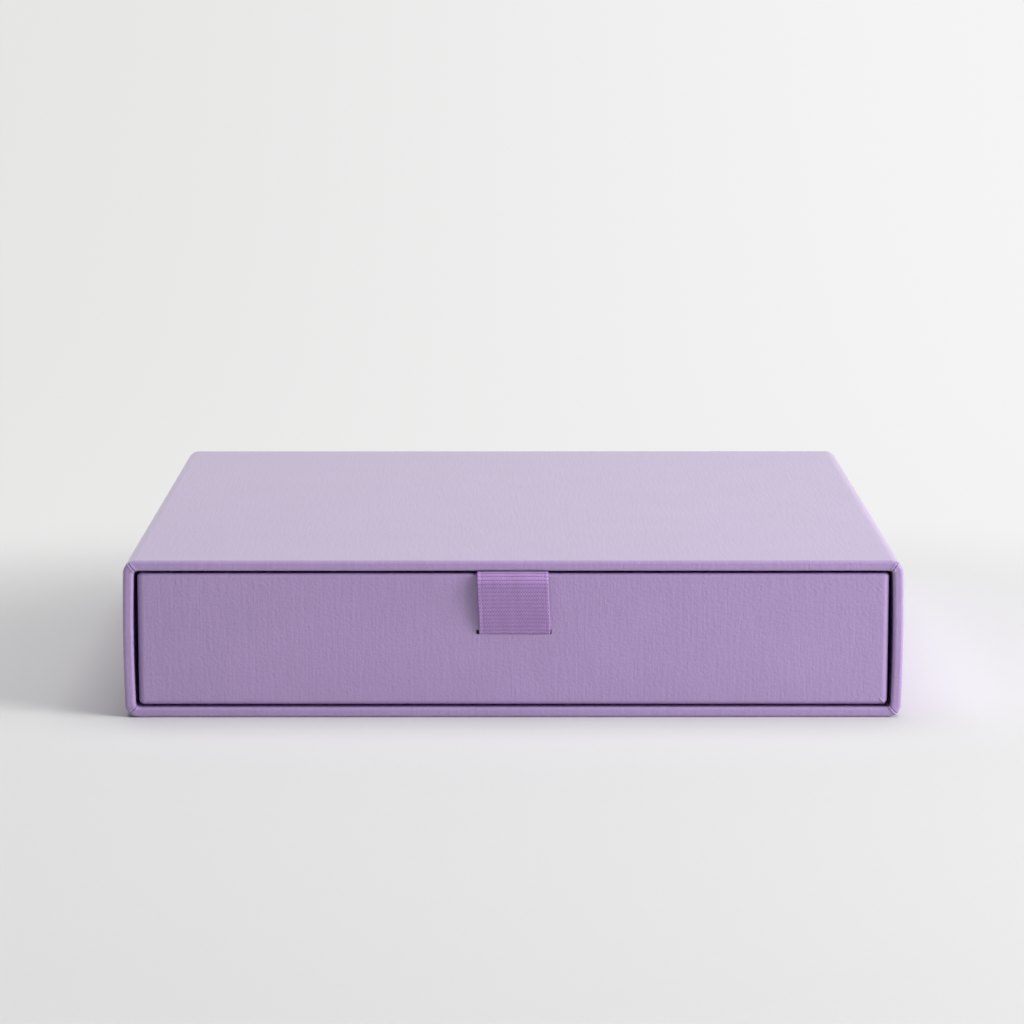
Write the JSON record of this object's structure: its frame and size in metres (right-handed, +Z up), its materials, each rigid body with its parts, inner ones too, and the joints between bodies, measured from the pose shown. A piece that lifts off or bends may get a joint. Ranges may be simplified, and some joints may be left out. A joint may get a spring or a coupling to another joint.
{
  "type": "sliding drawer gift box",
  "caption": "Slide box of paper-covered board: an open-fronted sleeve and a drawer that slides out on a ribbon pull.",
  "frame": {"origin": "middle of the flat underside of the sleeve, on the surface that the box rests on", "axes": "+Z up, +X to the right across the front, -Y out of the open front, the way the drawer slides"},
  "size_m": [0.22, 0.2121, 0.045],
  "materials": {
    "cover_paper": "matt lavender paper with an embossed linen texture",
    "lining_paper": "smooth matt lavender paper",
    "greyboard": "raw grey board",
    "stay_tape": "gummed brown paper tape",
    "ribbon": "lavender grosgrain, cross-ribbed, with woven edges"
  },
  "bodies": {
    "sleeve": {"sleeve_top_board": "greyboard", "sleeve_bottom_board": "greyboard", "sleeve_left_board": "greyboard", "sleeve_right_board": "greyboard", "sleeve_back_board": "greyboard", "sleeve_corner_stays": "stay_tape", "sleeve_wrap": "cover_paper", "sleeve_back_sheet": "cover_paper", "sleeve_base_sheet": "cover_paper", "sleeve_lining": "lining_paper", "sleeve_back_lining": "lining_paper"},
    "drawer": {"drawer_floor_board": "greyboard", "drawer_front_board": "greyboard", "drawer_back_board": "greyboard", "drawer_left_board": "greyboard", "drawer_right_board": "greyboard", "drawer_corner_stays": "stay_tape", "drawer_wrap": "cover_paper", "drawer_base_sheet": "cover_paper", "drawer_wall_lining": "lining_paper", "drawer_floor_lining": "lining_paper", "ribbon_pull": "ribbon", "ribbon_patch": "lining_paper"}
  },
  "joints": [
    {"name": "drawer_slide", "type": "slide", "parent": "sleeve", "child": "drawer", "axis": [0, -1, 0], "range_m": [0, 0.205]}
  ]
}
